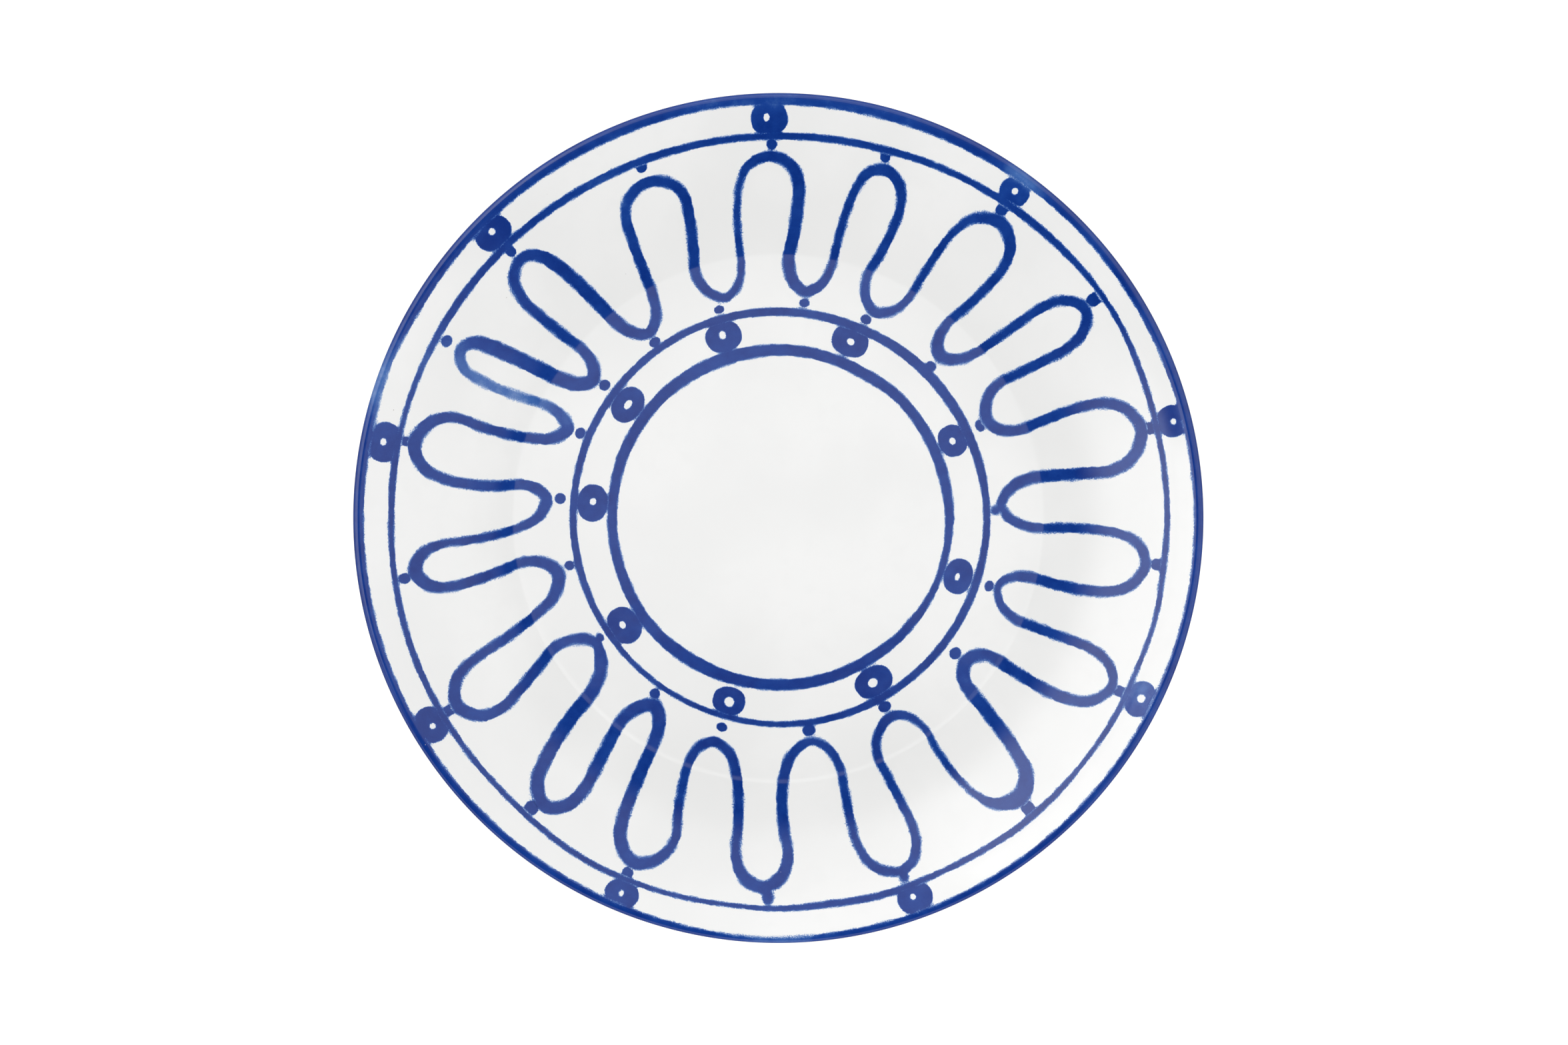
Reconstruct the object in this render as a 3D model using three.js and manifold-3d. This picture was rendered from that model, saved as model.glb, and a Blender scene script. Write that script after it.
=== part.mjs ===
// A round, hand painted dinner plate: a fired clay body on a bare foot ring, a coat of
// white glaze, and cobalt brush marks fired onto the face.
//
// Units are millimetres and +Z is up. The origin is under the plate's centre, on the plane
// that the foot ring stands on. Angles are in degrees, anticlockwise from +X, and the
// pattern's radii are fractions of the plate's radius.
import * as THREE from "three";
import { mergeVertices } from "three/addons/utils/BufferGeometryUtils.js";
import Module from "manifold-3d";

const wasm = await Module();
wasm.setup();

// ---- Driving dimensions ---------------------------------------------------------------

const PLATE_RADIUS = 140; // out to the paint on the lip
const SEGMENTS = 48; // flats round every turned surface

const WELL_RADIUS = 86; // edge of the flat well
const WELL_HEIGHT = 8; // top of the glaze in the well
const WALL_SLOPE = THREE.MathUtils.degToRad(34); // where the wall meets the lip
const WALL_POWER = 2; // the wall climbs with this power of the way out to the lip
const WALL_STEPS = 6;

const LIP_RADIUS = 1.8; // rounding of the glazed lip
const LIP_STEPS = 4;

const WALL_THICKNESS = 5; // over the foot ring, glaze included
const UNDERSIDE_INNER_RADIUS = 92; // the underside's last point lies under this one
const UNDERSIDE_STEPS = 3;

const FOOT_OUTER_RADIUS = 79;
const FOOT_INNER_RADIUS = 72.5;
const FOOT_CHAMFER = 0.8;
const FOOT_WELL_HEIGHT = 3; // clay ceiling inside the foot ring
const GLAZE_LINE = 1.4; // the glaze stops this far above the table

const GLAZE_THICKNESS = 0.35;
const PAINT_THICKNESS = 0.15;
const LAYER_GAP = 0.05; // between clay and glaze, and between glaze and paint
const STROKE_GAP = 0.12; // between one brush mark and its neighbour

const PAINT_INNER_RADIUS = 48; // nothing is painted inside this radius
const PRISM_HEIGHT = 40; // taller than the plate

// ---- The painted pattern --------------------------------------------------------------

// Rings, one row a point: angle, radius of the ring's middle, stroke width in mm.
const OUTER_LINE = [
  [0, 0.915, 1.8],
  [12, 0.915, 1.8],
  [22, 0.919, 2.0],
  [34, 0.926, 1.6],
  [41, 0.921, 2.3],
  [50, 0.916, 2.6],
  [62, 0.911, 2.1],
  [74, 0.902, 2.4],
  [90, 0.899, 2.2],
  [105, 0.8995, 2.4],
  [120, 0.901, 2.6],
  [135, 0.906, 2.4],
  [152, 0.909, 2.5],
  [162, 0.912, 1.4],
  [170, 0.912, 2.2],
  [182, 0.911, 1.9],
  [192, 0.915, 2.0],
  [203, 0.9165, 2.1],
  [224, 0.9145, 1.8],
  [242, 0.924, 1.9],
  [252, 0.922, 1.6],
  [260, 0.917, 1.5],
  [267, 0.921, 1.5],
  [275, 0.916, 2.4],
  [284, 0.92, 2.3],
  [296, 0.917, 1.9],
  [311, 0.922, 2.3],
  [321, 0.92, 1.5],
  [329, 0.92, 2.0],
  [337, 0.916, 1.6],
  [345, 0.918, 1.5],
  [353, 0.9135, 2.0],
];
const INNER_LINE = [
  [0, 0.492, 2.0],
  [20, 0.4905, 2.7],
  [45, 0.4895, 3.2],
  [70, 0.487, 2.6],
  [90, 0.487, 2.5],
  [115, 0.489, 2.1],
  [150, 0.487, 2.2],
  [175, 0.4845, 2.0],
  [195, 0.4835, 2.1],
  [230, 0.4845, 1.5],
  [250, 0.4845, 1.5],
  [270, 0.487, 1.6],
  [300, 0.4895, 2.2],
  [335, 0.491, 2.4],
];
const WELL_BAND = [
  [0, 0.404, 3.1],
  [15, 0.402, 3.6],
  [45, 0.402, 3.6],
  [60, 0.396, 3.8],
  [80, 0.397, 3.7],
  [110, 0.396, 4.4],
  [135, 0.3965, 3.9],
  [155, 0.395, 3.7],
  [175, 0.392, 3.2],
  [200, 0.392, 3.4],
  [220, 0.3955, 3.9],
  [240, 0.3935, 4.4],
  [260, 0.3935, 3.8],
  [300, 0.396, 3.7],
  [320, 0.4005, 3.1],
  [335, 0.404, 2.3],
  [350, 0.4035, 2.5],
];

// The rim band's inner edge: angle, radius.
const RIM_EDGE = [
  [0, 0.979],
  [20, 0.976],
  [45, 0.977],
  [60, 0.9725],
  [75, 0.971],
  [90, 0.973],
  [100, 0.976],
  [110, 0.972],
  [140, 0.9745],
  [151, 0.9735],
  [160, 0.98],
  [167, 0.975],
  [200, 0.977],
  [220, 0.98],
  [240, 0.9805],
  [255, 0.983],
  [268, 0.987],
  [277, 0.984],
  [310, 0.9815],
  [340, 0.98],
];

// The meander, one row for each turn and the leg that follows it. Turns alternate between
// inner and outer, and the first is an inner one. A row holds the turn's angle, radius and
// stroke width, then the leg's angles at the three LEG_RADII and its stroke width.
const LEG_RADII = [0.8, 0.7, 0.6];
const MEANDER = [
  [3.3, 0.526, 3.5, 8.2, 8.5, 8.9, 4.2],
  [13.9, 0.879, 4.3, 19.7, 20.3, 20.2, 3.7],
  [25.1, 0.545, 4.4, 30.5, 30.8, 31.2, 3.6],
  [34.3, 0.874, 3.9, 38.5, 39.2, 40.1, 3.4],
  [45.3, 0.541, 4.8, 48.2, 48.0, 49.0, 3.5],
  [53.1, 0.87, 4.6, 58.3, 59.2, 59.4, 3.0],
  [64.9, 0.537, 3.8, 68.8, 68.5, 69.8, 3.4],
  [73.1, 0.858, 4.2, 76.7, 77.8, 78.2, 3.1],
  [83.3, 0.538, 4.0, 86.7, 86.6, 87.7, 4.3],
  [91.3, 0.853, 3.9, 96.4, 98.0, 98.4, 2.7],
  [103.4, 0.535, 3.2, 106.5, 106.9, 108.7, 3.8],
  [111.6, 0.848, 3.8, 116.7, 118.2, 119.5, 3.7],
  [124.9, 0.533, 3.8, 131.4, 130.2, 129.6, 4.7],
  [134.9, 0.86, 3.8, 139.3, 139.7, 139.4, 3.9],
  [143.3, 0.547, 4.8, 149.4, 148.4, 147.3, 5.2],
  [152.0, 0.846, 4.0, 155.0, 155.1, 154.1, 3.5],
  [157.0, 0.541, 4.8, 162.8, 163.0, 161.8, 3.7],
  [168.3, 0.874, 4.7, 173.2, 173.8, 172.6, 3.8],
  [175.5, 0.549, 4.3, 184.5, 183.9, 181.7, 3.2],
  [188.3, 0.864, 5.1, 191.8, 191.3, 189.8, 3.7],
  [194.1, 0.536, 4.8, 205.1, 203.8, 201.2, 3.6],
  [210.3, 0.875, 4.5, 214.5, 212.8, 210.0, 3.8],
  [214.3, 0.521, 4.2, 226.3, 224.2, 222.9, 4.8],
  [231.1, 0.872, 4.7, 234.4, 233.5, 232.3, 4.4],
  [236.6, 0.531, 4.8, 242.7, 241.7, 240.9, 4.4],
  [247.3, 0.879, 4.7, 252.1, 250.6, 250.0, 3.3],
  [254.1, 0.55, 3.7, 262.8, 262.4, 260.2, 3.6],
  [267.6, 0.872, 4.8, 271.6, 270.7, 271.5, 3.9],
  [278.3, 0.533, 3.2, 283.7, 283.5, 283.8, 3.1],
  [289.4, 0.882, 3.9, 293.5, 293.2, 292.8, 3.2],
  [299.7, 0.539, 3.5, 305.5, 304.3, 304.7, 2.6],
  [310.8, 0.869, 6.0, 315.2, 316.8, 318.2, 4.6],
  [322.6, 0.558, 4.8, 327.9, 327.0, 326.9, 4.1],
  [333.3, 0.88, 3.3, 337.3, 337.1, 337.1, 3.5],
  [342.6, 0.543, 2.6, 347.5, 346.5, 346.7, 3.8],
  [353.1, 0.871, 3.8, 357.4, 358.1, 357.9, 3.4],
];
const TURN_FULLNESS = 0.67; // 0.71 bends a turn like a circle, less makes it more pointed
const SAMPLES_PER_TURN = 9;

// Medallions: angle, radius, width across, height along the radius, then the bare centre's
// offsets across and along the radius, and its width and height. All lengths in mm.
const OUTER_MEDALLIONS = [
  [13.8, 133.6, 10.6, 9.6, 0.2, 0.2, 2.0, 1.8],
  [54.1, 132.6, 10.2, 8.6, 0.0, 0.2, 2.0, 2.2],
  [91.3, 131.6, 12.2, 10.8, -0.9, 0.4, 1.9, 2.6],
  [135.0, 132.6, 12.8, 9.8, 0.0, 0.7, 2.2, 2.2],
  [169.1, 132.0, 13.4, 10.6, 0.0, 0.4, 2.4, 1.9],
  [210.8, 133.0, 12.2, 9.8, -0.6, -0.2, 2.0, 2.0],
  [247.4, 134.0, 11.4, 8.8, 0.2, -0.1, 1.6, 2.0],
  [289.8, 133.0, 11.8, 9.4, 0.5, -0.6, 1.8, 2.0],
  [333.4, 133.2, 12.2, 9.0, -0.3, 0.2, 2.6, 2.6],
];
const INNER_MEDALLIONS = [
  [23.9, 63.0, 10.6, 9.4, 0.1, -0.1, 2.4, 2.1],
  [67.9, 63.0, 12.4, 10.0, 0.2, 0.0, 2.6, 2.2],
  [106.8, 62.6, 12.2, 10.2, -0.2, 0.6, 2.3, 2.8],
  [143.0, 62.2, 12.5, 9.6, 0.0, 0.0, 3.4, 2.2],
  [175.4, 61.6, 12.3, 10.0, 0.5, -0.1, 2.4, 2.0],
  [214.9, 62.0, 12.6, 10.4, 0.5, 0.4, 2.5, 1.9],
  [254.9, 62.6, 10.8, 9.2, -0.2, 0.3, 3.2, 3.3],
  [300.2, 62.6, 13.0, 9.8, 0.4, 0.2, 3.3, 2.8],
  [342.0, 62.5, 11.8, 9.4, 0.2, -0.3, 2.5, 1.6],
];
const MEDALLION_POINTS = 16;
const CENTRE_POINTS = 8;
const MEDALLION_SQUARENESS = 2.3; // exponent of the superellipse, 2 is an ellipse

// Dots: angle, radius, width across and height along the radius, in mm.
const OUTER_DOTS = [
  [13.6, 126.2, 4.2, 5.0],
  [34.7, 126.6, 4.4, 6.0],
  [54.1, 125.6, 4.0, 4.6],
  [73.5, 124.2, 3.4, 3.6],
  [91.0, 123.2, 3.4, 3.4],
  [111.3, 124.4, 3.8, 4.2],
  [135.1, 124.6, 3.4, 3.8],
  [151.9, 123.9, 4.1, 3.5],
  [168.4, 125.8, 3.2, 4.6],
  [189.2, 124.8, 3.6, 3.8],
  [210.3, 125.8, 3.6, 4.6],
  [229.6, 125.6, 4.6, 5.2],
  [247.0, 127.2, 3.8, 4.8],
  [310.7, 126.4, 4.4, 6.4],
  [333.1, 126.4, 3.8, 5.4],
  [353.0, 125.9, 3.8, 4.8],
];
const INNER_DOTS = [
  [24.6, 73.2, 4.0, 2.9],
  [44.8, 71.2, 3.6, 2.9],
  [66.2, 71.7, 3.6, 3.0],
  [83.1, 71.6, 3.4, 2.8],
  [105.8, 71.6, 3.4, 2.6],
  [125.1, 71.0, 3.9, 2.9],
  [142.6, 72.2, 3.7, 3.4],
  [156.8, 71.2, 3.7, 3.2],
  [174.9, 72.4, 3.7, 3.6],
  [192.8, 70.8, 3.2, 3.0],
  [234.9, 70.9, 3.4, 3.4],
  [254.9, 71.6, 3.6, 2.9],
  [278.2, 70.8, 4.3, 3.8],
  [299.4, 71.6, 4.4, 3.4],
  [322.6, 73.6, 4.2, 3.7],
  [342.1, 73.2, 3.6, 2.9],
];
// Dots that ran into the meander while it was wet, and are part of its stroke.
const JOINED_DOTS = [
  [268.4, 124.8, 4.2, 6.0],
  [289.3, 125.0, 3.6, 4.8],
  [2.0, 71.9, 3.4, 3.6],
  [213.8, 71.0, 3.2, 3.0],
];
const DOT_POINTS = 8;

// ---- Materials ------------------------------------------------------------------------

const CLAY = new THREE.MeshStandardMaterial({ color: 0xd9c3a5, roughness: 0.9 });
const GLAZE = new THREE.MeshStandardMaterial({ color: 0xf1f0ed, roughness: 0.12 });
const COBALT = new THREE.MeshStandardMaterial({ color: 0x163f8f, roughness: 0.12 });

// ---- The plate's section --------------------------------------------------------------

// The face meets the lip's rounding where both have the wall's slope.
const lipCentreRadius = PLATE_RADIUS - LIP_RADIUS - LAYER_GAP - PAINT_THICKNESS;
const faceRadius = lipCentreRadius - LIP_RADIUS * Math.sin(WALL_SLOPE);
const wallRun = faceRadius - WELL_RADIUS;
const wallRise = (Math.tan(WALL_SLOPE) * wallRun) / WALL_POWER;

function faceHeight(radius) {
  const along = Math.max(0, radius - WELL_RADIUS) / wallRun;
  return WELL_HEIGHT + wallRise * along ** WALL_POWER;
}

function faceSlope(radius) {
  const along = Math.max(0, radius - WELL_RADIUS) / wallRun;
  return Math.atan(Math.tan(WALL_SLOPE) * along ** (WALL_POWER - 1));
}

// A point of the glaze's outer surface with the direction that it faces.
function station(radius, height, slope) {
  return { radius, height, outward: [-Math.sin(slope), Math.cos(slope)] };
}

// The first two lie in the bare middle of the well, which is a face of its own.
function faceStations() {
  const stations = [
    station(0, WELL_HEIGHT, 0),
    station(PAINT_INNER_RADIUS, WELL_HEIGHT, 0),
  ];
  for (let i = 0; i <= WALL_STEPS; i++) {
    const radius = WELL_RADIUS + (wallRun * i) / WALL_STEPS;
    stations.push(station(radius, faceHeight(radius), faceSlope(radius)));
  }
  return stations;
}

// From the wall round the lip to its underside.
function lipStations() {
  const centreHeight = faceHeight(faceRadius) - LIP_RADIUS * Math.cos(WALL_SLOPE);
  const stations = [];
  for (let i = 1; i <= LIP_STEPS; i++) {
    const slope = WALL_SLOPE - (Math.PI * i) / LIP_STEPS;
    const radius = lipCentreRadius - LIP_RADIUS * Math.sin(slope);
    const height = centreHeight + LIP_RADIUS * Math.cos(slope);
    stations.push(station(radius, height, slope));
  }
  return stations;
}

// The underside follows the face at a thickness that grows from the lip to the foot.
function undersideStations() {
  const stations = [];
  for (let i = 1; i <= UNDERSIDE_STEPS; i++) {
    const along = i / UNDERSIDE_STEPS;
    const above = THREE.MathUtils.lerp(faceRadius, UNDERSIDE_INNER_RADIUS, along);
    const thickness = THREE.MathUtils.lerp(2 * LIP_RADIUS, WALL_THICKNESS, along);
    const slope = faceSlope(above);
    const radius = above + thickness * Math.sin(slope);
    const height = faceHeight(above) - thickness * Math.cos(slope);
    stations.push(station(radius, height, slope + Math.PI));
  }
  return stations;
}

function footStations() {
  const rootHeight = WELL_HEIGHT - WALL_THICKNESS;
  const root = { radius: FOOT_OUTER_RADIUS, height: rootHeight, outward: [1, -1] };
  return [root, station(FOOT_OUTER_RADIUS, GLAZE_LINE, -Math.PI / 2)];
}

const FACE = faceStations();
const LIP = lipStations();
const OUTSIDE = [...undersideStations(), ...footStations()];

// The stations moved in by a depth, as profile points. A negative depth moves them out.
function inset(stations, depth) {
  return stations.map(
    ({ radius, height, outward }) =>
      new THREE.Vector2(
        Math.max(0, radius - depth * outward[0]),
        height - depth * outward[1],
      ),
  );
}

// ---- Solids of revolution -------------------------------------------------------------

// A profile of points (radius, height), from the axis at the bottom round the outside to
// the axis at the top, or closed on itself, turned about +Z.
function turned(profile) {
  return new THREE.LatheGeometry(profile, SEGMENTS).rotateX(Math.PI / 2);
}

function clayBody() {
  const clayDepth = GLAZE_THICKNESS + LAYER_GAP;
  const footSide = FOOT_OUTER_RADIUS - clayDepth;
  const foot = [
    new THREE.Vector2(0, FOOT_WELL_HEIGHT),
    new THREE.Vector2(FOOT_INNER_RADIUS, FOOT_WELL_HEIGHT),
    new THREE.Vector2(FOOT_INNER_RADIUS, FOOT_CHAMFER),
    new THREE.Vector2(FOOT_INNER_RADIUS + FOOT_CHAMFER, 0),
    new THREE.Vector2(footSide - FOOT_CHAMFER, 0),
    new THREE.Vector2(footSide, FOOT_CHAMFER),
  ];
  const coated = inset([...FACE, ...LIP, ...OUTSIDE.slice(0, -1)], clayDepth);
  return turned([...foot, ...coated.reverse()]);
}

function glazeCoat() {
  const stations = [...FACE, ...LIP, ...OUTSIDE];
  const outer = inset(stations, 0).reverse();
  const inner = inset(stations, GLAZE_THICKNESS);
  return turned([...inner, ...outer]);
}

// The glaze inside the foot ring is a shallow cup, open downwards.
function footWellGlaze() {
  const side = FOOT_INNER_RADIUS - LAYER_GAP;
  const ceiling = FOOT_WELL_HEIGHT - LAYER_GAP;
  return turned([
    new THREE.Vector2(0, ceiling - GLAZE_THICKNESS),
    new THREE.Vector2(side - GLAZE_THICKNESS, ceiling - GLAZE_THICKNESS),
    new THREE.Vector2(side - GLAZE_THICKNESS, GLAZE_LINE),
    new THREE.Vector2(side, GLAZE_LINE),
    new THREE.Vector2(side, ceiling),
    new THREE.Vector2(0, ceiling),
  ]);
}

// The layer that all paint lies in: over the face from inside the pattern, round the lip.
function paintLayer() {
  const stations = [...FACE.slice(1), ...LIP.slice(0, -1)];
  const bottom = inset(stations, -LAYER_GAP);
  const top = inset(stations, -LAYER_GAP - PAINT_THICKNESS).reverse();
  return turned([...bottom, ...top, bottom[0]]);
}

// ---- Joining and cutting --------------------------------------------------------------

const MERGE_DISTANCE = 1e-4;

function solidOf(geometry) {
  const loose = geometry.index ? geometry.toNonIndexed() : geometry;
  const bare = new THREE.BufferGeometry();
  bare.setAttribute("position", loose.getAttribute("position"));
  const merged = mergeVertices(bare, MERGE_DISTANCE);
  const mesh = new wasm.Mesh({
    numProp: 3,
    vertProperties: merged.getAttribute("position").array,
    triVerts: new Uint32Array(merged.index.array),
  });
  return new wasm.Manifold(mesh);
}

function geometryOf(solid) {
  const { vertProperties, triVerts } = solid.getMesh();
  const geometry = new THREE.BufferGeometry();
  geometry.setAttribute("position", new THREE.BufferAttribute(vertProperties, 3));
  geometry.setIndex(new THREE.BufferAttribute(triVerts, 1));
  geometry.computeVertexNormals();
  return geometry;
}

// ---- Outlines and prisms --------------------------------------------------------------

function polar(angle, radius) {
  const turn = THREE.MathUtils.degToRad(angle);
  return new THREE.Vector2(radius * Math.cos(turn), radius * Math.sin(turn));
}

// An upright prism over an outline, with an optional hole, as a solid.
function prism(outline, hole) {
  const shape = new THREE.Shape(outline);
  if (hole) shape.holes.push(new THREE.Path(hole));
  const options = { depth: PRISM_HEIGHT, bevelEnabled: false };
  return solidOf(new THREE.ExtrudeGeometry(shape, options));
}

// The values of a ring's rows at an angle, eased between the rows on both sides.
function ringAt(rows, angle) {
  const after = rows.findIndex((row) => row[0] > angle);
  const next = rows[Math.max(0, after)];
  const last = rows.at(after > 0 ? after - 1 : -1);
  const span = THREE.MathUtils.euclideanModulo(next[0] - last[0], 360);
  const part = THREE.MathUtils.euclideanModulo(angle - last[0], 360) / span;
  const eased = THREE.MathUtils.smoothstep(part, 0, 1);
  return last.slice(1).map((value, i) => THREE.MathUtils.lerp(value, next[i + 1], eased));
}

// A ring's edge, with a corner at each of the plate's flats. The side is 1 for the ring's
// outer edge and -1 for its inner edge.
function ringEdge(rows, side, margin) {
  return Array.from({ length: SEGMENTS }, (_, i) => {
    const angle = (360 / SEGMENTS) * i;
    const [radius, width = 0] = ringAt(rows, angle);
    return polar(angle, radius * PLATE_RADIUS + side * (width / 2 + margin));
  });
}

function ringPrism(rows, margin = 0) {
  return prism(ringEdge(rows, 1, margin), ringEdge(rows, -1, margin));
}

// The meander's middle line: x and y, with the stroke's width as the third coordinate.
function meanderLine() {
  const points = [];
  const add = (angle, radius, width) => {
    const { x, y } = polar(angle, radius * PLATE_RADIUS);
    points.push(new THREE.Vector3(x, y, width));
  };
  // The rounding between a turn and the end of a leg, as a quarter of a superellipse.
  const addRounding = (turn, legAngle, legRadius, legWidth) => {
    add(
      THREE.MathUtils.lerp(turn[0], legAngle, TURN_FULLNESS),
      THREE.MathUtils.lerp(legRadius, turn[1], TURN_FULLNESS),
      (turn[2] + legWidth) / 2,
    );
  };
  MEANDER.forEach((turn, i) => {
    const next = MEANDER[(i + 1) % MEANDER.length];
    const nextTurn = i + 1 < MEANDER.length ? next : [next[0] + 360, ...next.slice(1)];
    const legWidth = turn[6];
    const crossings = LEG_RADII.map((radius, j) => [turn[3 + j], radius]);
    if (i % 2 === 0) crossings.reverse();
    const [first, middle, last] = crossings;
    add(turn[0], turn[1], turn[2]);
    addRounding(turn, first[0], first[1], legWidth);
    add(first[0], first[1], legWidth);
    add(middle[0], middle[1], legWidth);
    add(last[0], last[1], legWidth);
    addRounding(nextTurn, last[0], last[1], legWidth);
  });
  return new THREE.CatmullRomCurve3(points, true, "centripetal");
}

// Both edges of the meander, moved apart by a margin on each side.
function meanderPrism(margin = 0) {
  const line = meanderLine();
  const count = MEANDER.length * SAMPLES_PER_TURN;
  const edges = { outer: [], inner: [] };
  for (let i = 0; i < count; i++) {
    const point = line.getPoint(i / count);
    const tangent = line.getTangent(i / count);
    const outward = new THREE.Vector2(tangent.y, -tangent.x).normalize();
    const half = point.z / 2 + margin;
    const middle = new THREE.Vector2(point.x, point.y);
    edges.outer.push(middle.clone().addScaledVector(outward, half));
    edges.inner.push(middle.clone().addScaledVector(outward, -half));
  }
  return prism(edges.outer, edges.inner);
}

// A closed superellipse round a point, with its axes across and along the plate's radius.
function blob(angle, radius, width, height, count, squareness = 2) {
  const rounded = (value) => Math.sign(value) * Math.abs(value) ** (2 / squareness);
  return Array.from({ length: count }, (_, i) => {
    const turn = (2 * Math.PI * (i + 0.5)) / count;
    const across = (width / 2) * rounded(Math.cos(turn));
    const along = (height / 2) * rounded(Math.sin(turn));
    return new THREE.Vector2(radius + along, -across).rotateAround(
      new THREE.Vector2(),
      THREE.MathUtils.degToRad(angle),
    );
  });
}

function medallionPrism([angle, radius, width, height, across, along, ...centre]) {
  const outline = blob(angle, radius, width, height, MEDALLION_POINTS, MEDALLION_SQUARENESS);
  const centreAngle = angle - THREE.MathUtils.radToDeg(across / radius);
  const hole = blob(centreAngle, radius + along, ...centre, CENTRE_POINTS);
  return prism(outline, hole);
}

function dotPrism([angle, radius, width, height]) {
  return prism(blob(angle, radius, width, height, DOT_POINTS));
}

// ---- The nodes ------------------------------------------------------------------------

const plate = new THREE.Group();
plate.name = "plate";

function addNode(name, geometry, material) {
  const mesh = new THREE.Mesh(geometry, material);
  mesh.name = name;
  plate.add(mesh);
}

addNode("clay_body", clayBody(), CLAY);
addNode("glaze_coat", glazeCoat(), GLAZE);
addNode("foot_well_glaze", footWellGlaze(), GLAZE);

const layer = solidOf(paintLayer());
const paint = (name, footprint) =>
  addNode(name, geometryOf(layer.intersect(footprint)), COBALT);

const meanderWithDots = JOINED_DOTS.map(dotPrism).reduce(
  (stroke, dot) => stroke.add(dot),
  meanderPrism(),
);
const insideRimEdge = prism(ringEdge(RIM_EDGE, 1, 0));
addNode("rim_band", geometryOf(layer.subtract(insideRimEdge)), COBALT);
paint("outer_line", ringPrism(OUTER_LINE));
paint("meander", meanderWithDots);
paint("inner_line", ringPrism(INNER_LINE));
paint("well_band", ringPrism(WELL_BAND));

// Medallions and dots stop short of the strokes that they run into.
const clearOfRim = prism(ringEdge(RIM_EDGE, 1, -STROKE_GAP));
const strokes = ringPrism(OUTER_LINE, STROKE_GAP)
  .add(meanderPrism(STROKE_GAP))
  .add(ringPrism(INNER_LINE, STROKE_GAP))
  .add(ringPrism(WELL_BAND, STROKE_GAP));

function paintMarks(name, rows, markPrism) {
  rows.forEach((row, i) => {
    const footprint = markPrism(row).intersect(clearOfRim).subtract(strokes);
    paint(`${name}_${String(i + 1).padStart(2, "0")}`, footprint);
  });
}

paintMarks("outer_medallion", OUTER_MEDALLIONS, medallionPrism);
paintMarks("inner_medallion", INNER_MEDALLIONS, medallionPrism);
paintMarks("outer_dot", OUTER_DOTS, dotPrism);
paintMarks("inner_dot", INNER_DOTS, dotPrism);

export default plate;
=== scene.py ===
"""The looks of the hand painted plate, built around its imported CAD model.

The CAD solids are coarse: a turned surface has 48 flats, and a brush mark is a plain prism.
Each one is replaced here by a finer closed mesh of the same size in the same place. Turned
surfaces get a smooth section, and brush marks get a soft, grainy edge that runs into the
mark next to them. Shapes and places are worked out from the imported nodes, and only the spots
where the brush ran dry are listed here. Units are metres.
"""

import math

import bpy
import numpy as np
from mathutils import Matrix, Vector, kdtree, noise
from mathutils.geometry import delaunay_2d_cdt


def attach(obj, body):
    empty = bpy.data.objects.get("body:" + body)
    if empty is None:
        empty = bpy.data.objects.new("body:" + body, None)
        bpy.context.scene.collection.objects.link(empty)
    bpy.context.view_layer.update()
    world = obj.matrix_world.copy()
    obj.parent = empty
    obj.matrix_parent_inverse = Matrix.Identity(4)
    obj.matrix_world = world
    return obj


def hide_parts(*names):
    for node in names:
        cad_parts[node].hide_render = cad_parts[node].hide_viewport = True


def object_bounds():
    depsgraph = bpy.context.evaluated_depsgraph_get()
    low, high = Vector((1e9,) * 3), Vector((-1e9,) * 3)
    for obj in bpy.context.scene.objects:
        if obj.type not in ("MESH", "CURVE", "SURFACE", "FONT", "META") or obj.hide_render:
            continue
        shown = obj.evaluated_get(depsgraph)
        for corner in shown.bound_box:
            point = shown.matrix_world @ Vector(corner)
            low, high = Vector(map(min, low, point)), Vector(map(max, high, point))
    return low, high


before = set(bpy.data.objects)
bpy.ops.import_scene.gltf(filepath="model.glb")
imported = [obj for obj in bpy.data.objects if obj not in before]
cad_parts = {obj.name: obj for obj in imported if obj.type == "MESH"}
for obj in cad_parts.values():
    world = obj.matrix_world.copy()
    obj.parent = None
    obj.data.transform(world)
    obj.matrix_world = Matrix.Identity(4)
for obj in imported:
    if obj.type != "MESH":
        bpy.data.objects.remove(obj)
cad_low, cad_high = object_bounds()

MM = 0.001
SNAP = 0.001 * MM  # points of a CAD node closer than this are one point

# ---- Smooth curves through the CAD's points ---------------------------------------------

CORNER_ANGLE = math.radians(60)  # sharper turns than this stay corners
LENGTH_RATIO = 3  # a chord this many times longer than its neighbour sets the direction
STRAIGHT = math.radians(0.2)  # a chord that turns less than this needs no further points


def unit(vector):
    return vector / np.linalg.norm(vector)


def angle_between(a, b):
    return math.acos(np.clip(np.dot(a, b), -1, 1))


def directions(points, closed, is_corner):
    """The curve's directions before and after each point, from the chords that meet there."""
    chords = np.roll(points, -1, axis=0) - points
    lengths = np.linalg.norm(chords, axis=1)
    units = chords / lengths[:, None]
    pairs = []
    for i in range(len(points)):
        before, after = units[i - 1], units[i]
        if not closed and i == 0:
            before = after
        if not closed and i == len(points) - 1:
            after = before
        if angle_between(before, after) > CORNER_ANGLE or is_corner(points[i]):
            pairs.append((before, after))
            continue
        if lengths[i - 1] > LENGTH_RATIO * lengths[i]:
            middle = before
        elif lengths[i] > LENGTH_RATIO * lengths[i - 1]:
            middle = after
        else:
            middle = unit(before / lengths[i - 1] + after / lengths[i])
        pairs.append((middle, middle))
    return pairs


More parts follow.
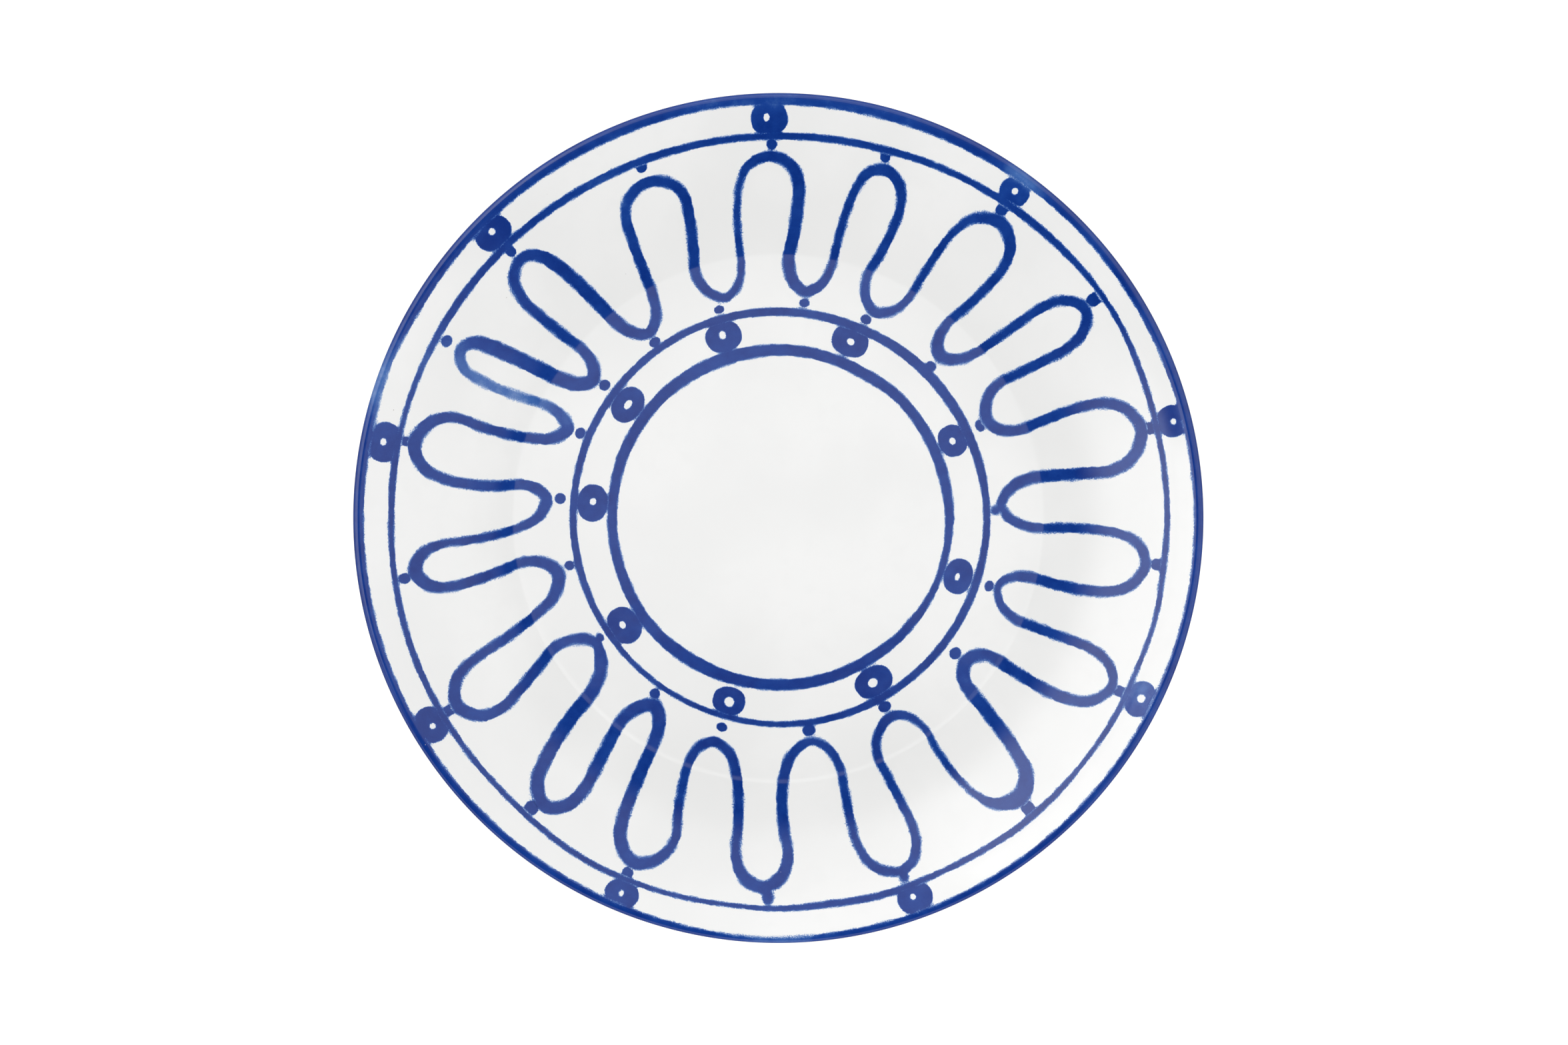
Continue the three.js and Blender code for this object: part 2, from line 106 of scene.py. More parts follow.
def hermite(start, end, leave, arrive, count):
    """Points from the start up to the end, without the end, on a cubic curve."""
    chord = np.linalg.norm(end - start)
    t = (np.arange(count) / count)[:, None]
    return (
        (2 * t**3 - 3 * t**2 + 1) * start
        + (t**3 - 2 * t**2 + t) * chord * leave
        + (3 * t**2 - 2 * t**3) * end
        + (t**3 - t**2) * chord * arrive
    )


def smooth_through(points, step, closed=False, is_corner=lambda point: False):
    """A smooth curve through the points, with a point at least every step where it bends."""
    pairs = directions(points, closed, is_corner)
    pieces = []
    for i in range(len(points) if closed else len(points) - 1):
        j = (i + 1) % len(points)
        leave, arrive = pairs[i][1], pairs[j][0]
        chord = points[j] - points[i]
        along = unit(chord)
        bend = max(angle_between(leave, along), angle_between(along, arrive))
        count = math.ceil(np.linalg.norm(chord) / step) if closed or bend > STRAIGHT else 1
        pieces.append(hermite(points[i], points[j], leave, arrive, count))
    if not closed:
        pieces.append(points[-1:])
    return np.concatenate(pieces)


# ---- Turned surfaces --------------------------------------------------------------------

SECTION_STEP = 0.5 * MM
TURNED_STATIONS = 320
FOOT_CORNERS = 1 * MM  # the foot's edges are below this height
SHARP_EDGE = math.radians(35)


def distinct(mesh):
    """A mesh's distinct points, and which of them each of its vertices is."""
    rows = np.array([vertex.co for vertex in mesh.vertices])
    whole, index = np.unique(np.round(rows / SNAP), axis=0, return_inverse=True)
    return whole * SNAP, index.ravel()


def section_of(node):
    """A turned node's section at angle 0 as (radius, height) rows, from the axis at the top."""
    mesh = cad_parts[node].data
    points, index = distinct(mesh)
    in_plane = (abs(points[:, 1]) < SNAP) & (points[:, 0] > -SNAP)
    linked = {}
    for edge in mesh.edges:
        a, b = index[edge.vertices[0]], index[edge.vertices[1]]
        if a != b and in_plane[a] and in_plane[b]:
            linked.setdefault(a, set()).add(b)
            linked.setdefault(b, set()).add(a)
    ends = [i for i in linked if len(linked[i]) == 1]
    path = [max(ends, key=lambda i: points[i][2])]
    while len(path) == 1 or path[-1] not in ends:
        path.append(next(i for i in linked[path[-1]] if i not in path[-2:]))
    return points[path][:, [0, 2]]


def smooth_section(node):
    return smooth_through(
        section_of(node), SECTION_STEP, is_corner=lambda point: point[1] < FOOT_CORNERS
    )


def new_piece(name, vertices, faces, material, node):
    mesh = bpy.data.meshes.new(name)
    mesh.from_pydata(vertices, [], faces)
    mesh.materials.append(material)
    piece = bpy.data.objects.new(name, mesh)
    bpy.context.scene.collection.objects.link(piece)
    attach(piece, "root")
    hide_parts(node)
    return piece


def turned_piece(name, node, material):
    """The node's section turned finely about the axis, as one closed mesh."""
    section = smooth_section(node)
    top, rings, bottom = section[0], section[1:-1], section[-1]
    turns = np.arange(TURNED_STATIONS) * 2 * math.pi / TURNED_STATIONS
    circle = np.stack([np.cos(turns), np.sin(turns)], axis=1)
    vertices = [(0, 0, top[1])]
    for radius, height in rings:
        vertices += [(radius * x, radius * y, height) for x, y in circle]
    vertices.append((0, 0, bottom[1]))
    last = len(vertices) - 1
    after = np.roll(np.arange(TURNED_STATIONS), -1)
    faces = [(0, 1 + i, 1 + j) for i, j in enumerate(after)]
    for ring in range(len(rings) - 1):
        a = 1 + ring * TURNED_STATIONS
        b = a + TURNED_STATIONS
        faces += [(a + i, b + i, b + j, a + j) for i, j in enumerate(after)]
    edge = last - TURNED_STATIONS
    faces += [(last, edge + j, edge + i) for i, j in enumerate(after)]
    piece = new_piece(name, vertices, faces, material, node)
    piece.data.shade_smooth()
    piece.data.set_sharp_from_angle(angle=SHARP_EDGE)


# ---- The glazed face, which the paint lies on -------------------------------------------

glaze_section = smooth_section("glaze_coat")
outermost = int(np.argmax(glaze_section[:, 0]))
face_radii = glaze_section[: outermost + 1, 0]
face_heights = glaze_section[: outermost + 1, 1]
face_slopes = np.arctan(np.gradient(face_heights, face_radii))


def face_height(radius):
    return np.interp(radius, face_radii, face_heights)


def face_normals(points):
    """The glaze's normals at plan points."""
    radius = np.hypot(points[:, 0], points[:, 1])
    slope = np.interp(radius, face_radii, face_slopes)
    inward = -np.sin(slope)[:, None] * points / radius[:, None]
    return np.column_stack([inward, np.cos(slope)])


# ---- Outlines of the brush marks --------------------------------------------------------

FACING_UP = 0.3  # least height of an upper face's normal
OUTLINE_STEP = 0.35 * MM
IN_LINE = 0.004 * MM  # outline points this close to their neighbours' chord are dropped


def outlines(node):
    """A mark's outlines from above, as closed rows of (x, y) with the paint on their left."""
    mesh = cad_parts[node].data
    points, index = distinct(mesh)
    edges = set()
    for face in mesh.polygons:
        if face.normal.z > FACING_UP:
            ring = index[list(face.vertices)]
            edges.update(zip(ring, np.roll(ring, -1)))
    following = {a: b for a, b in sorted(edges) if a != b and (b, a) not in edges}
    loops = []
    while following:
        start, point = following.popitem()
        loop = [start]
        while point != start:
            loop.append(point)
            point = following.pop(point)
        loops.append(points[loop][:, :2])
    return loops


def without_straight_points(loop):
    """The loop without the points that lie on a line between their neighbours."""
    kept = list(loop)
    i = 0
    while i < len(kept):
        before, point, after = kept[i - 1], kept[i], kept[(i + 1) % len(kept)]
        chord = after - before
        offset = np.cross(chord, point - before) / np.linalg.norm(chord)
        if abs(offset) < IN_LINE:
            kept.pop(i)
        else:
            i += 1
    return np.array(kept)


def outward_normals(loop):
    along = np.roll(loop, -1, axis=0) - np.roll(loop, 1, axis=0)
    along /= np.linalg.norm(along, axis=1)[:, None]
    return np.column_stack([along[:, 1], -along[:, 0]])


def smooth_outlines(node):
    return [
        smooth_through(without_straight_points(loop), OUTLINE_STEP, closed=True)
        for loop in outlines(node)
    ]


marks = {
    node: smooth_outlines(node)
    for node in sorted(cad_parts)
    if node not in ("clay_body", "glaze_coat", "foot_well_glaze")
}
# Of the rim band only the inner edge, which is its shortest outline, is a brushed edge.
marks["rim_band"] = [min(marks["rim_band"], key=lambda loop: np.ptp(loop[:, 0]))]


# ---- How deep a point lies in the paint -------------------------------------------------

JOIN_REACH = 0.9 * MM  # marks closer than about half of this run into one another
FAR = 5 * MM


class Edges:
    """The brushed edges of some marks, to measure how far inside the paint a point is."""

    def __init__(self, loops):
        self.points = np.concatenate(loops) if loops else np.empty((0, 2))
        self.normals = np.concatenate([outward_normals(loop) for loop in loops] or [self.points])
        self.tree = kdtree.KDTree(len(self.points))
        for i, (x, y) in enumerate(self.points):
            self.tree.insert((x, y, 0), i)
        self.tree.balance()

    def inset(self, x, y):
        """Distance inside the nearest edge, negative outside it."""
        _, i, distance = self.tree.find((x, y, 0))
        if i is None or distance > FAR:
            return -FAR
        px, py = self.points[i]
        nx, ny = self.normals[i]
        inside = (px - x) * nx + (py - y) * ny
        return math.copysign(distance, inside) if distance > OUTLINE_STEP else inside


def neighbours_of(node, reach):
    """The outlines of the other marks that come close to this one."""
    own = np.concatenate(marks[node])
    low, high = own.min(axis=0) - reach, own.max(axis=0) + reach
    return [
        loop
        for other, loops in marks.items()
        if other != node
        for loop in loops
        if (loop.max(axis=0) > low).all() and (loop.min(axis=0) < high).all()
    ]


def joined_inset(own, other):
    """The depth inside two marks together, which flow into each other where they are close."""
    overlap = max(0, JOIN_REACH - abs(own - other)) / JOIN_REACH
    return max(own, other) + overlap**2 * JOIN_REACH / 4


def noise_at(x, y, size, seed):
    """Smooth noise from about -1 to 1, with features of a size."""
    return noise.noise(Vector((x / size, y / size, seed)))


# How a kind of mark was painted: the width of its soft edge where it is crispest and where
# it is softest, how far its outline wanders, and how far the colour spread. In metres.
BRUSHES = {
    "rim_band": (0.45 * MM, 1.9 * MM, 0.25 * MM, 0.16 * MM),
    "outer_line": (0.45 * MM, 1.3 * MM, 0.20 * MM, -0.02 * MM),
    "meander": (0.55 * MM, 2.0 * MM, 0.26 * MM, -0.17 * MM),
    "inner_line": (0.40 * MM, 1.1 * MM, 0.18 * MM, 0.12 * MM),
    "well_band": (0.40 * MM, 1.4 * MM, 0.22 * MM, -0.06 * MM),
    "outer_medallion": (0.35 * MM, 0.7 * MM, 0.16 * MM, -0.06 * MM),
    "inner_medallion": (0.35 * MM, 0.7 * MM, 0.16 * MM, -0.06 * MM),
    "outer_dot": (0.35 * MM, 0.6 * MM, 0.16 * MM, 0.0),
    "inner_dot": (0.35 * MM, 0.6 * MM, 0.16 * MM, 0.0),
}
# The ripples that make an outline wander: their size, amount and noise seed.
WANDER_RIPPLES = [(2.2 * MM, 1.0, 1.7), (0.8 * MM, 0.4, 4.1)]
# How soft the edge is along the stroke: the size of its changes, seed, middle and range.
SOFTNESS_SIZE = 5 * MM
SOFTNESS_SEED = 9.2
SOFTNESS_MIDDLE = 0.45
SOFTNESS_RANGE = 0.9

# Places where the brush had run nearly dry: angle in degrees, radius, the place's length
# round the plate and its length along the radius, and the share of paint that is missing.
DRY_PLACES = [
    (155.3, 100 * MM, 8 * MM, 24 * MM, 0.50),
    (53.8, 137.5 * MM, 9 * MM, 2.2 * MM, 0.40),
    (161.0, 139 * MM, 12 * MM, 6 * MM, 0.45),
    (270.5, 139 * MM, 14 * MM, 6 * MM, 0.30),
    (335.0, 132 * MM, 5 * MM, 5 * MM, 0.30),
    (90.0, 137 * MM, 30 * MM, 4 * MM, 0.15),
    (118.5, 120 * MM, 8 * MM, 10 * MM, 0.20),
]
# How the paint's load changes along every stroke: the size of a change and its amount.
LOAD_CHANGES = [(14 * MM, 0.13), (4 * MM, 0.09)]
LOAD_SEED = 7.3
PAINT_ATTRIBUTES = ("depth", "softness", "load")


def brush_of(node):
    return BRUSHES[node.rstrip("0123456789").rstrip("_")]


def paint_load(x, y):
    """How much paint the brush left here: 1 is plenty."""
    angle, radius = math.atan2(y, x), math.hypot(x, y)
    load = 1.0
    for degrees, at, length, depth, missing in DRY_PLACES:
        turn = math.remainder(angle - math.radians(degrees), 2 * math.pi)
        away = (turn * at / length) ** 2 + ((radius - at) / depth) ** 2
        load -= missing * math.exp(-away)
    for size, amount in LOAD_CHANGES:
        load += amount * noise_at(x, y, size, LOAD_SEED)
    return load


def paint_values(node, points, insets):
    """The PAINT_ATTRIBUTES at each plan point, the depth and the softness in millimetres."""
    crisp, softest, wander, spread = brush_of(node)
    others = Edges(neighbours_of(node, FAR))
    rows = []
    for (x, y), own in zip(points, insets):
        depth = joined_inset(own, others.inset(x, y)) + spread
        for size, amount, seed in WANDER_RIPPLES:
            depth += wander * amount * noise_at(x, y, size, seed)
        change = SOFTNESS_RANGE * noise_at(x, y, SOFTNESS_SIZE, SOFTNESS_SEED)
        share = min(1, max(0, SOFTNESS_MIDDLE + change))
        rows.append((depth / MM, (crisp + share * (softest - crisp)) / MM, paint_load(x, y)))
    return np.array(rows)


def write_attributes(mesh, values):
    for column, name in enumerate(PAINT_ATTRIBUTES):
        layer = mesh.attributes.new(name, "FLOAT", "POINT")
        layer.data.foreach_set("value", values[:, column].astype(np.float32))


# ---- Brush marks as meshes --------------------------------------------------------------

GRID_STEP = 0.45 * MM
ROOT_DEPTH = 0.12 * MM  # the paint's underside lies this far under the glaze's surface
EDGE_RISE = 0.010 * MM  # height of the paint over the glaze at the mesh's own edge
BODY_RISE = 0.045 * MM  # and in the body of the stroke


def bleed_of(node):
    """How far the mesh reaches past the mark's outline, to hold the softest edge."""
    _, softest, wander, spread = brush_of(node)
    return softest / 2 + wander + max(spread, 0)


def rises(insets, bleed, body=BODY_RISE):
    """The paint's height over the glaze, from the mesh's edge to the body of the stroke."""
    share = np.clip(1 + insets / bleed, 0, 1)
    return EDGE_RISE + (body - EDGE_RISE) * share * share * (3 - 2 * share)


def grid_points(loops, edges, bleed):
    """Points of an even triangular grid that lie in the mark, clear of its mesh's edge."""
    outline = np.concatenate(loops)
    radii = np.hypot(outline[:, 0], outline[:, 1])
    low, high = outline.min(axis=0) - bleed, outline.max(axis=0) + bleed
    row_step = GRID_STEP * math.sqrt(3) / 2
    points = []
    for row, y in enumerate(np.arange(low[1], high[1], row_step)):
        xs = np.arange(low[0] + (row % 2) * GRID_STEP / 2, high[0], GRID_STEP)
        distances = np.hypot(xs, y)
        near = (distances > radii.min() - bleed) & (distances < radii.max() + bleed)
        for x in xs[near]:
            inset = edges.inset(x, y)
            if inset > GRID_STEP / 2 - bleed:
                points.append((x, y))
    return points


def triangulated(loops, loose):
    """Triangles between the outlines, with all loose points in them as corners."""
    corners = [Vector(point) for loop in loops for point in loop]
    corners += [Vector(point) for point in loose]
    rings, start = [], 0
    for loop in loops:
        rings.append(list(range(start, start + len(loop))))
        start += len(loop)
    areas = [np.sum(np.cross(loop, np.roll(loop, -1, axis=0))) / 2 for loop in loops]
    outer = int(np.argmax(areas))
    faces = [ring if area > 0 else ring[::-1] for ring, area in zip(rings, areas)]
    points, _, triangles, _, _, sources = delaunay_2d_cdt(
        corners, [], faces, 1, SNAP / 10, True
    )
    kept = [t for t, source in zip(triangles, sources) if source == [outer]]
    used = sorted({i for triangle in kept for i in triangle})
    place = {i: k for k, i in enumerate(used)}
    plan = np.array([points[i] for i in used])
    return plan, [tuple(place[i] for i in triangle) for triangle in kept]


def boundary_edges(triangles):
    edges = {(t[i], t[(i + 1) % 3]) for t in triangles for i in range(3)}
    return [(a, b) for a, b in sorted(edges) if (b, a) not in edges]


def painted_piece(node, upper, lower, faces, normals, values):
    """A mark's closed mesh. Its upper points are shaded with the normals of the glaze."""
    vertices = np.concatenate([upper, lower]).tolist()
    piece = new_piece(f"painted_{node}", vertices, faces, cobalt, node)
    given = np.concatenate([normals, np.zeros_like(normals)])
    piece.data.shade_smooth()
    piece.data.normals_split_custom_set_from_vertices(given.tolist())
    write_attributes(piece.data, np.concatenate([values, values]))


def brushed_piece(node):
    """A mark as a thin closed mesh let into the glaze, a little wider than its paint."""
    bleed = bleed_of(node)
    loops = marks[node]
    edges = Edges(loops)
    wide = [loop + bleed * outward_normals(loop) for loop in loops]
    loose = grid_points(loops, edges, bleed)
    plan, top = triangulated(wide, loose)
    insets = np.array([edges.inset(x, y) for x, y in plan])
    values = paint_values(node, plan, insets)
    base = face_height(np.hypot(plan[:, 0], plan[:, 1]))
    upper = np.column_stack([plan, base + rises(insets, bleed)])
    lower = np.column_stack([plan, base - ROOT_DEPTH])
    count = len(plan)
    faces = top + [(c + count, b + count, a + count) for a, b, c in top]
    faces += [(b, a, a + count, b + count) for a, b in boundary_edges(top)]
    painted_piece(node, upper, lower, faces, face_normals(plan), values)


# ---- The rim band, which goes round the lip ---------------------------------------------

BAND_STATIONS = 2000
BAND_ROWS = 26
BAND_RISE = 0.16 * MM
BAND_END_FADE = 0.3 * MM  # the mesh goes on this far past the paint under the lip

section_steps = np.linalg.norm(np.diff(glaze_section, axis=0), axis=1)
section_lengths = np.concatenate([[0], np.cumsum(section_steps)])
section_along = np.gradient(glaze_section, section_lengths, axis=0)
section_along /= np.linalg.norm(section_along, axis=1)[:, None]


def on_section(lengths):
    """Points of the glaze's section and its normals there, at lengths along it."""
    points = [np.interp(lengths, section_lengths, column) for column in glaze_section.T]
    along = [np.interp(lengths, section_lengths, column) for column in section_along.T]
    return np.stack(points, axis=-1), np.stack([-along[1], along[0]], axis=-1)


def band_starts(turns):
    """How far along the glaze's section the band's brushed edge lies, at each turn."""
    edge = marks["rim_band"][0]
    edge_turns = np.arctan2(edge[:, 1], edge[:, 0])
    order = np.argsort(edge_turns)
    radii = np.interp(turns, edge_turns[order], np.hypot(*edge.T)[order], period=2 * math.pi)
    return np.interp(radii, face_radii, section_lengths[: outermost + 1])


def band_end():
    """How far along the glaze's section the rim band goes."""
    points, _ = distinct(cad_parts["rim_band"].data)
    in_plane = points[(abs(points[:, 1]) < SNAP) & (points[:, 0] > 0)][:, [0, 2]]
    away = np.linalg.norm(glaze_section[:, None] - in_plane[None], axis=2)
    return section_lengths[away.argmin(axis=0).max()]


def band_faces(count):
    """Faces of the band between its stations. The lower points follow the upper ones."""
    faces = []
    for i in range(BAND_STATIONS):
        a, b = i * BAND_ROWS, (i + 1) % BAND_STATIONS * BAND_ROWS
        for j in range(BAND_ROWS - 1):
            quad = (a + j, a + j + 1, b + j + 1, b + j)
            faces += [quad, tuple(k + count for k in reversed(quad))]
        c, d = a + BAND_ROWS - 1, b + BAND_ROWS - 1
        faces += [(b, b + count, a + count, a), (c, c + count, d + count, d)]
    return faces


def rim_band():
    """The band over the wall's edge and the lip, as a closed ring with a brushed inner edge."""
    bleed = bleed_of("rim_band")
    turns = (np.arange(BAND_STATIONS) + 0.5) * 2 * math.pi / BAND_STATIONS - math.pi
    rounds = np.stack([np.cos(turns), np.sin(turns)], axis=1)[:, None]
    starts, end = band_starts(turns)[:, None], band_end()
    shares = np.linspace(0, 1, BAND_ROWS)
    lengths = (starts - bleed) * (1 - shares) + (end + BAND_END_FADE) * shares
    insets = np.minimum(lengths - starts, end - lengths)
    fades = np.where(lengths < (starts + end) / 2, bleed, BAND_END_FADE)
    rise = rises(insets, fades, BAND_RISE)[..., None]
    points, normals = on_section(lengths)

    def placed(section):
        """Turned into the plate's space, station by station."""
        turned = np.concatenate([section[..., :1] * rounds, section[..., 1:]], axis=2)
        return turned.reshape(-1, 3)

    upper = placed(points + normals * rise)
    lower = placed(points - normals * ROOT_DEPTH)
    values = paint_values("rim_band", upper[:, :2], insets.ravel())
    painted_piece("rim_band", upper, lower, band_faces(len(upper)), placed(normals), values)


# ---- Materials --------------------------------------------------------------------------

WHITE = (1, 1, 1, 1)
CERAMIC_IOR = 1.5


def add(tree, kind, inputs=None, **settings):
    """A new node. Its inputs are given by name or number, as values or as sockets."""
    made = tree.nodes.new(kind)
    for name, value in settings.items():
        setattr(made, name, value)
    for key, value in (inputs or {}).items():
        if isinstance(value, bpy.types.NodeSocket):
            tree.links.new(value, made.inputs[key])
        else:
            made.inputs[key].default_value = value
    return made


def calc(tree, operation, *values):
    return add(tree, "ShaderNodeMath", dict(enumerate(values)), operation=operation).outputs[0]


def ease(tree, value, low, high):
    """0 below low and 1 above high, with a smooth step between them."""
    inputs = {"Value": value, "From Min": low, "From Max": high}
    return add(tree, "ShaderNodeMapRange", inputs, interpolation_type="SMOOTHSTEP").outputs[0]


def times(tree, first, second):
    return calc(tree, "MULTIPLY", first, second)


def blend(tree, factor, first, second):
    """From the first colour at 0 to the second at 1. Inputs 6 and 7 take the colours."""
    return add(tree, "ShaderNodeMix", {0: factor, 6: first, 7: second}, data_type="RGBA").outputs[2]


def cloud(tree, size, detail=2):
    """Smooth noise from 0 to 1 in the object's own space, with features of a size."""
    place = add(tree, "ShaderNodeTexCoord").outputs["Object"]
    inputs = {"Vector": place, "Scale": 1 / size, "Detail": detail}
    return add(tree, "ShaderNodeTexNoise", inputs).outputs[0]


def specks(tree, spacing, radius, share):
    """1 in small round specks, which a share of the cells of a grid hold."""
    place = add(tree, "ShaderNodeTexCoord").outputs["Object"]
    cells = add(tree, "ShaderNodeTexVoronoi", {"Vector": place, "Scale": 1 / spacing})
    draw = add(tree, "ShaderNodeSeparateColor", {0: cells.outputs["Color"]}).outputs[0]
    chosen = calc(tree, "LESS_THAN", draw, share)
    reach = radius / spacing
    near = ease(tree, cells.outputs["Distance"], reach, reach / 2)
    return times(tree, chosen, near)


def bump(tree, height, distance, **inputs):
    """A normal from a height, which a distance in metres scales."""
    inputs |= {"Height": height, "Distance": distance}
    return add(tree, "ShaderNodeBump", inputs).outputs[0]


def new_material(name, roughness, viewport):
    """A material, its node tree and its shader. Nodes may still drive the roughness."""
    made = bpy.data.materials.new(name)
    made.use_nodes = True
    made.diffuse_color = viewport
    shader = made.node_tree.nodes["Principled BSDF"]
    shader.inputs["IOR"].default_value = CERAMIC_IOR
    shader.inputs["Roughness"].default_value = roughness
    return made, made.node_tree, shader


GLAZE_PALE = (0.880, 0.880, 0.872, 1)
GLAZE_DEEP = (0.845, 0.846, 0.838, 1)
GLAZE_TONE_SIZE = 45 * MM
MOTTLE_SIZE = 6 * MM
MOTTLE_AMOUNT = 0.3
SPECK_COLOUR = (0.25, 0.20, 0.16, 1)
SPECKS = (13 * MM, 0.22 * MM, 0.35)  # their spacing, radius and share, as specks() takes them
SPECK_STRENGTH = 0.7
GLAZE_WAVE = (11 * MM, 0.009 * MM)  # the size of a slow wave in the glaze, and its height
GLAZE_RIPPLE = (1.6 * MM, 0.0005 * MM)  # and of the fine ripple on it
GLAZE_ROUGHNESS = (0.03, 0.06)
GLAZE_ROUGHNESS_SIZE = 9 * MM
GLAZE_PLAIN_ROUGHNESS = 0.1


def glaze_colour(tree):
    """White glaze, a little uneven in tone, with a few iron specks."""
    broad = ease(tree, cloud(tree, GLAZE_TONE_SIZE), 0.35, 0.65)
    white = blend(tree, broad, GLAZE_DEEP, GLAZE_PALE)
    mottle = ease(tree, cloud(tree, MOTTLE_SIZE), 0.45, 0.75)
    white = blend(tree, times(tree, mottle, MOTTLE_AMOUNT), white, GLAZE_DEEP)
    speck = times(tree, specks(tree, *SPECKS), SPECK_STRENGTH)
    return blend(tree, speck, white, SPECK_COLOUR)


def add_glaze_finish(tree, shader):
    """The shine of the glaze, which lies over the paint as well."""
    low, high = GLAZE_ROUGHNESS
    inputs = {"Value": cloud(tree, GLAZE_ROUGHNESS_SIZE), "To Min": low, "To Max": high}
    roughness = add(tree, "ShaderNodeMapRange", inputs).outputs[0]
    size, height = GLAZE_WAVE
    wave = bump(tree, cloud(tree, size, 1), height)
    size, height = GLAZE_RIPPLE
    ripple = bump(tree, cloud(tree, size, 1), height, Normal=wave)
    tree.links.new(roughness, shader.inputs["Roughness"])
    tree.links.new(ripple, shader.inputs["Normal"])


def white_glaze_material():
    made, tree, shader = new_material("white_glaze", GLAZE_PLAIN_ROUGHNESS, GLAZE_PALE)
    tree.links.new(glaze_colour(tree), shader.inputs["Base Color"])
    add_glaze_finish(tree, shader)
    return made


# The paint's colour as it gets thicker: position and colour, in linear light.
PAINT_STOPS = [
    (0.00, (0.870, 0.870, 0.862, 1)),
    (0.22, (0.300, 0.420, 0.660, 1)),
    (0.50, (0.055, 0.145, 0.425, 1)),
    (0.78, (0.008, 0.050, 0.285, 1)),
    (1.00, (0.002, 0.028, 0.215, 1)),
]
FULL_THICKNESS = 0.90  # where a well loaded stroke lies on the scale of PAINT_STOPS
COBALT_VIEWPORT = (0.01, 0.05, 0.25, 1)
# How uneven the stroke's thickness is: the size, detail and amount of each kind of mottling.
STREAKS = [(2.5 * MM, 3, 0.22), (0.5 * MM, 2, 0.10)]
EDGE_GRAIN = (0.35 * MM, 3, 1.3)  # the same for the edge, the amount in widths of its softness
PINHOLES = (9 * MM, 0.16 * MM, 0.3)  # bare spots in the paint, as specks() takes them
PINHOLE_STRENGTH = 0.6
OPAQUE_COVER = 0.3  # from this cover on, none of the bare glaze shows


def mottling(tree, size, detail, amount):
    """Smooth noise round 0."""
    return times(tree, calc(tree, "SUBTRACT", cloud(tree, size, detail), 0.5), amount)


def paint_cover(tree, depth, softness):
    """0 outside the paint and 1 inside, through a spray of fine grains at its edge."""
    size, detail, amount = EDGE_GRAIN
    spray = mottling(tree, size, detail, times(tree, softness, amount))
    inside = calc(tree, "DIVIDE", calc(tree, "ADD", depth, spray), softness)
    return ease(tree, inside, -0.5, 0.5)


def paint_ramp(tree, thickness):
    ramp = add(tree, "ShaderNodeValToRGB", {0: thickness})
    stops = ramp.color_ramp.elements
    while len(stops) < len(PAINT_STOPS):
        stops.new(1)
    for stop, (position, colour) in zip(stops, PAINT_STOPS):
        stop.position = position
        stop.color = colour
    return ramp.outputs[0]


def cobalt_material():
    made, tree, shader = new_material("cobalt", GLAZE_PLAIN_ROUGHNESS, COBALT_VIEWPORT)
    depth, softness, load = (
        add(tree, "ShaderNodeAttribute", attribute_name=name).outputs["Fac"]
        for name in PAINT_ATTRIBUTES
    )
    cover = paint_cover(tree, depth, softness)
    thickness = times(tree, load, FULL_THICKNESS)
    for streak in STREAKS:
        thickness = calc(tree, "ADD", thickness, mottling(tree, *streak))
    # Paint thins out towards its edge, so there it gets paler before it ends.
    colour = paint_ramp(tree, times(tree, thickness, cover))
    painted = blend(tree, ease(tree, cover, 0, OPAQUE_COVER), glaze_colour(tree), colour)
    pinhole = times(tree, specks(tree, *PINHOLES), PINHOLE_STRENGTH)
    painted = blend(tree, pinhole, painted, GLAZE_PALE)
    tree.links.new(painted, shader.inputs["Base Color"])
    add_glaze_finish(tree, shader)
    return made


CLAY_PALE = (0.74, 0.60, 0.45, 1)
CLAY_DEEP = (0.58, 0.43, 0.30, 1)
CLAY_TONE_SIZE = 7 * MM
CLAY_GRAIN_SIZE = 0.6 * MM
CLAY_GRAIN_HEIGHT = 0.1 * MM
CLAY_ROUGHNESS = (0.75, 0.95)
CLAY_PLAIN_ROUGHNESS = 0.85


def clay_material():
    """Bare fired earthenware, grainy and matt."""
    made, tree, shader = new_material("bare_clay", CLAY_PLAIN_ROUGHNESS, CLAY_PALE)
    grain = cloud(tree, CLAY_GRAIN_SIZE, 4)
    broad = ease(tree, cloud(tree, CLAY_TONE_SIZE), 0.3, 0.7)
    colour = blend(tree, broad, CLAY_DEEP, CLAY_PALE)
    colour = blend(tree, ease(tree, grain, 0.55, 0.75), colour, CLAY_DEEP)
    low, high = CLAY_ROUGHNESS
    inputs = {"Value": grain, "To Min": low, "To Max": high}
    roughness = add(tree, "ShaderNodeMapRange", inputs).outputs[0]
    tree.links.new(colour, shader.inputs["Base Color"])
    tree.links.new(roughness, shader.inputs["Roughness"])
    tree.links.new(bump(tree, grain, CLAY_GRAIN_HEIGHT), shader.inputs["Normal"])
    return made


white_glaze = white_glaze_material()
cobalt = cobalt_material()
bare_clay = clay_material()

turned_piece("fired_clay", "clay_body", bare_clay)
turned_piece("glazed_surface", "glaze_coat", white_glaze)
turned_piece("foot_well_surface", "foot_well_glaze", white_glaze)
rim_band()
for mark_node in marks:
    if mark_node != "rim_band":
        brushed_piece(mark_node)

# ---- Floor, light and camera ------------------------------------------------------------

FLOOR_SIZE = 40
FLOOR_COLOUR = (0.55, 0.55, 0.55, 1)
FLOOR_GLOW = 0.70
FLOOR_ROUGHNESS = 0.9


